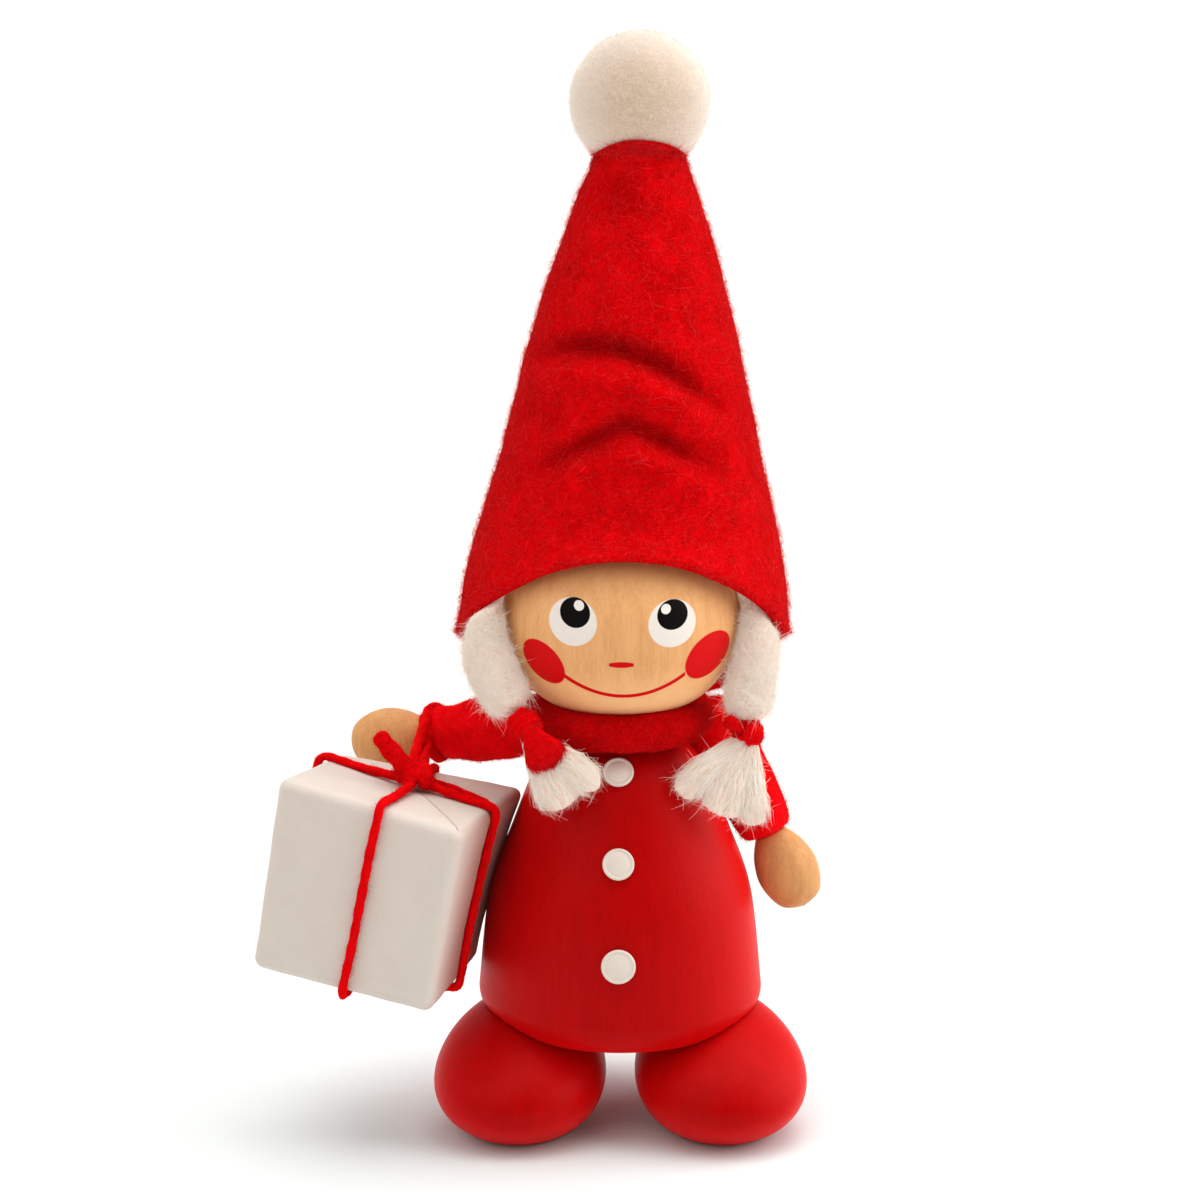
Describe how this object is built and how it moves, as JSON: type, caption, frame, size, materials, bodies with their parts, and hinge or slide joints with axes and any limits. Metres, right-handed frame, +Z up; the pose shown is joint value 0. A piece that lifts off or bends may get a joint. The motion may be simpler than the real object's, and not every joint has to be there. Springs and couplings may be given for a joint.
{
  "type": "christmas gnome figure",
  "caption": "Turned wooden gnome figure with a felt cone hat and pompom, wool pigtails, bendable felt arms and a paper-wrapped gift hung from one wrist by yarn.",
  "frame": {"origin": "on the floor under the middle of the whole figure, gift included", "axes": "+Z up, -Y the way the figure faces, +X the figure's left"},
  "size_m": [0.0856, 0.0534, 0.1637],
  "materials": {
    "red_painted_wood": "satin",
    "bare_wood": "satin",
    "white_painted_wood": "satin",
    "red_felt": "matte",
    "white_felt": "matte",
    "white_wool": "matte",
    "red_yarn": "matte",
    "wadding": "matte",
    "wire": "satin",
    "wrapping_paper": "matte"
  },
  "bodies": {
    "figure": {"body_bell": "red_painted_wood", "foot_right": "red_painted_wood", "foot_left": "red_painted_wood", "leg_dowel_right": "bare_wood", "leg_dowel_left": "bare_wood", "neck_dowel": "bare_wood", "head_ball": "bare_wood", "button_bottom": "white_painted_wood", "button_middle": "white_painted_wood", "button_top": "white_painted_wood", "collar_roll": "red_felt", "shoulder_wire": "wire", "hat_cone": "red_felt", "hat_wadding": "wadding", "pompom": "white_felt", "pompom_thread": "white_wool", "hair_band": "white_wool"},
    "right_arm": {"arm_sleeve_right": "red_felt", "arm_wire_right": "wire", "hand_right": "bare_wood"},
    "left_arm": {"arm_sleeve_left": "red_felt", "arm_wire_left": "wire", "hand_left": "bare_wood"},
    "right_pigtail": {"pigtail_right": "white_wool", "pigtail_tie_right": "red_yarn", "pigtail_tassel_right": "white_wool", "pigtail_bow_right": "red_yarn"},
    "left_pigtail": {"pigtail_left": "white_wool", "pigtail_tie_left": "red_yarn", "pigtail_tassel_left": "white_wool", "pigtail_bow_left": "red_yarn"},
    "gift": {"gift_block": "bare_wood", "gift_wrap": "wrapping_paper", "gift_wrap_base": "wrapping_paper", "gift_yarn_front": "red_yarn", "gift_yarn_side": "red_yarn", "gift_knot": "red_yarn", "gift_bow_tail_long": "red_yarn", "gift_bow_tail_short": "red_yarn", "gift_hanging_loop": "red_yarn"}
  },
  "joints": [
    {"name": "right_shoulder", "type": "hinge", "parent": "figure", "child": "right_arm", "pos_m": [-0.00288, 0.00397, 0.0597], "axis": [0, 1, 0], "range_deg": [0, 25]},
    {"name": "left_shoulder", "type": "hinge", "parent": "figure", "child": "left_arm", "pos_m": [0.02672, 0.00397, 0.0597], "axis": [0, -1, 0], "range_deg": [0, 60]},
    {"name": "gift_swing", "type": "hinge", "parent": "right_arm", "child": "gift", "pos_m": [-0.01639, 0.00916, 0.05662], "axis": [-0.9132, 0.3505, -0.2079], "range_deg": [0, 30]},
    {"name": "right_pigtail_swing", "type": "hinge", "parent": "figure", "child": "right_pigtail", "pos_m": [-0.00732, -0.00847, 0.079], "axis": [-1, 0, 0], "range_deg": [0, 30]},
    {"name": "left_pigtail_swing", "type": "hinge", "parent": "figure", "child": "left_pigtail", "pos_m": [0.0315, -0.00657, 0.079], "axis": [-1, 0, 0], "range_deg": [0, 30]}
  ]
}
